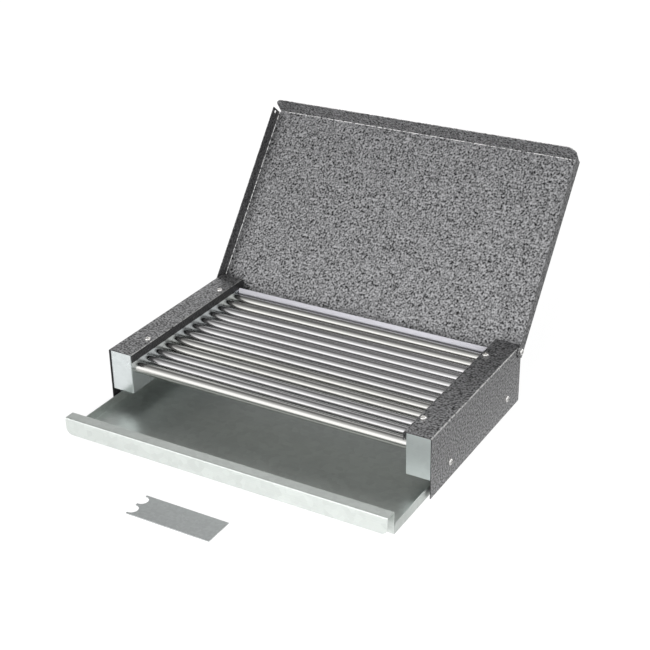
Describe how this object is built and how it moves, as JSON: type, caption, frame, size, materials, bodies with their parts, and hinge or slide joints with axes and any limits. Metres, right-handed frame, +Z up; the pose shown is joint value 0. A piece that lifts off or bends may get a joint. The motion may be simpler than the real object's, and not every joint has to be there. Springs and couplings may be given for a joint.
{
  "type": "electric fish roaster",
  "caption": "Low table-top roaster with steel heating tubes between side boxes, a hinged lid in hammered paint, a pull-out drip tray with a turned-down lip, and a loose notched scraper.",
  "frame": {"origin": "on the table, under the middle of the whole outline with the lid open, the tray drawn and the scraper in front", "axes": "+X to the right of someone facing the front, +Y from the front to the back, +Z up from the table"},
  "size_m": [0.408, 0.5436, 0.2574],
  "materials": {
    "hammered_paint": "hammered enamel, dark grey with lighter veins",
    "coated_sheet": "zinc-coated sheet, soft sheen",
    "tray_sheet": "zinc-coated sheet with a fine spangle",
    "tube_steel": "polished stainless tube",
    "scraper_steel": "plain sheet",
    "ceramic": "unglazed ceramic",
    "heating_wire": "resistance wire",
    "brass": "plain",
    "block_plastic": "moulded",
    "gland_plastic": "moulded",
    "lead_brown": "silicone rubber",
    "lead_blue": "silicone rubber",
    "lead_green": "silicone rubber",
    "plated_screws": "bright plated"
  },
  "bodies": {
    "body": {"back_nuts": "plated_screws", "back_panel": "coated_sheet", "back_screws": "plated_screws", "block_sleeves": "brass", "ceramic_cores": "ceramic", "clamp_screws": "plated_screws", "cord_gland": "gland_plastic", "cover_nuts": "plated_screws", "cover_screws": "plated_screws", "earth_lead": "lead_green", "earth_nut": "plated_screws", "earth_ring": "brass", "earth_screw": "plated_screws", "front_busbar": "brass", "front_lead": "lead_brown", "gland_nut": "gland_plastic", "heating_coils": "heating_wire", "heating_tube_01": "tube_steel", "heating_tube_02": "tube_steel", "heating_tube_03": "tube_steel", "heating_tube_04": "tube_steel", "heating_tube_05": "tube_steel", "heating_tube_06": "tube_steel", "heating_tube_07": "tube_steel", "heating_tube_08": "tube_steel", "heating_tube_09": "tube_steel", "heating_tube_10": "tube_steel", "heating_tube_11": "tube_steel", "heating_tube_12": "tube_steel", "hinge_nuts": "plated_screws", "hinge_screws": "plated_screws", "hinge_washers": "plated_screws", "lead_receptacles": "brass", "left_busbar": "brass", "left_end_bushes": "ceramic", "left_pin_nuts": "plated_screws", "left_side_cover": "hammered_paint", "left_terminal_box": "coated_sheet", "left_terminal_pins": "plated_screws", "left_tray_rail": "coated_sheet", "rear_busbar": "brass", "rear_lead": "lead_blue", "rear_plate": "coated_sheet", "right_end_bushes": "ceramic", "right_pin_nuts": "plated_screws", "right_side_cover": "hammered_paint", "right_terminal_box": "coated_sheet", "right_terminal_pins": "plated_screws", "right_tray_rail": "coated_sheet", "side_nuts": "plated_screws", "side_screws": "plated_screws", "terminal_block": "block_plastic"},
    "lid": {"lid": "hammered_paint"},
    "tray": {"drip_tray": "tray_sheet"},
    "scraper": {"scraper": "scraper_steel"}
  },
  "joints": [
    {"name": "lid_hinge", "type": "hinge", "parent": "body", "child": "lid", "pos_m": [0, 0.11818, 0.0642], "axis": [1, 0, 0], "range_deg": [0, 129]},
    {"name": "tray_slide", "type": "slide", "parent": "body", "child": "tray", "axis": [0, 1, 0], "range_m": [-0.1519, 0.072]},
    {"name": "scraper_lift", "type": "slide", "parent": "body", "child": "scraper", "axis": [0, 0, 1], "range_m": [0, 0.12]}
  ]
}
